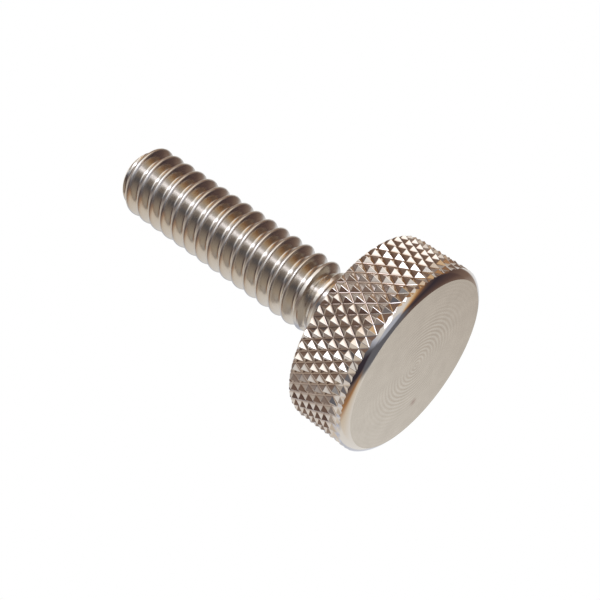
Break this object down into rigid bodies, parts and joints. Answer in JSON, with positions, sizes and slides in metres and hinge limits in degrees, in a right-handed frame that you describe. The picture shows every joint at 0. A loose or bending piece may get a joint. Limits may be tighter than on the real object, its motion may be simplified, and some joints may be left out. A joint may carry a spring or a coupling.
{
  "type": "thumb screw",
  "caption": "Thumb screw with a round, flat-faced head, a diamond-knurled rim and a coarse threaded shank, turned by hand to clamp or adjust.",
  "frame": {"origin": "centre of the head's flat face, on which the screw stands", "axes": "+Z along the screw's axis, from the head's flat face to the tip of the shank; X and Y lie in the face"},
  "size_m": [0.0126, 0.0126, 0.0235],
  "materials": {
    "steel": "bare stainless steel, turned satin on the face and bright on the knurl and thread"
  },
  "bodies": {
    "root": {"thumb_screw": "steel"}
  },
  "joints": []
}
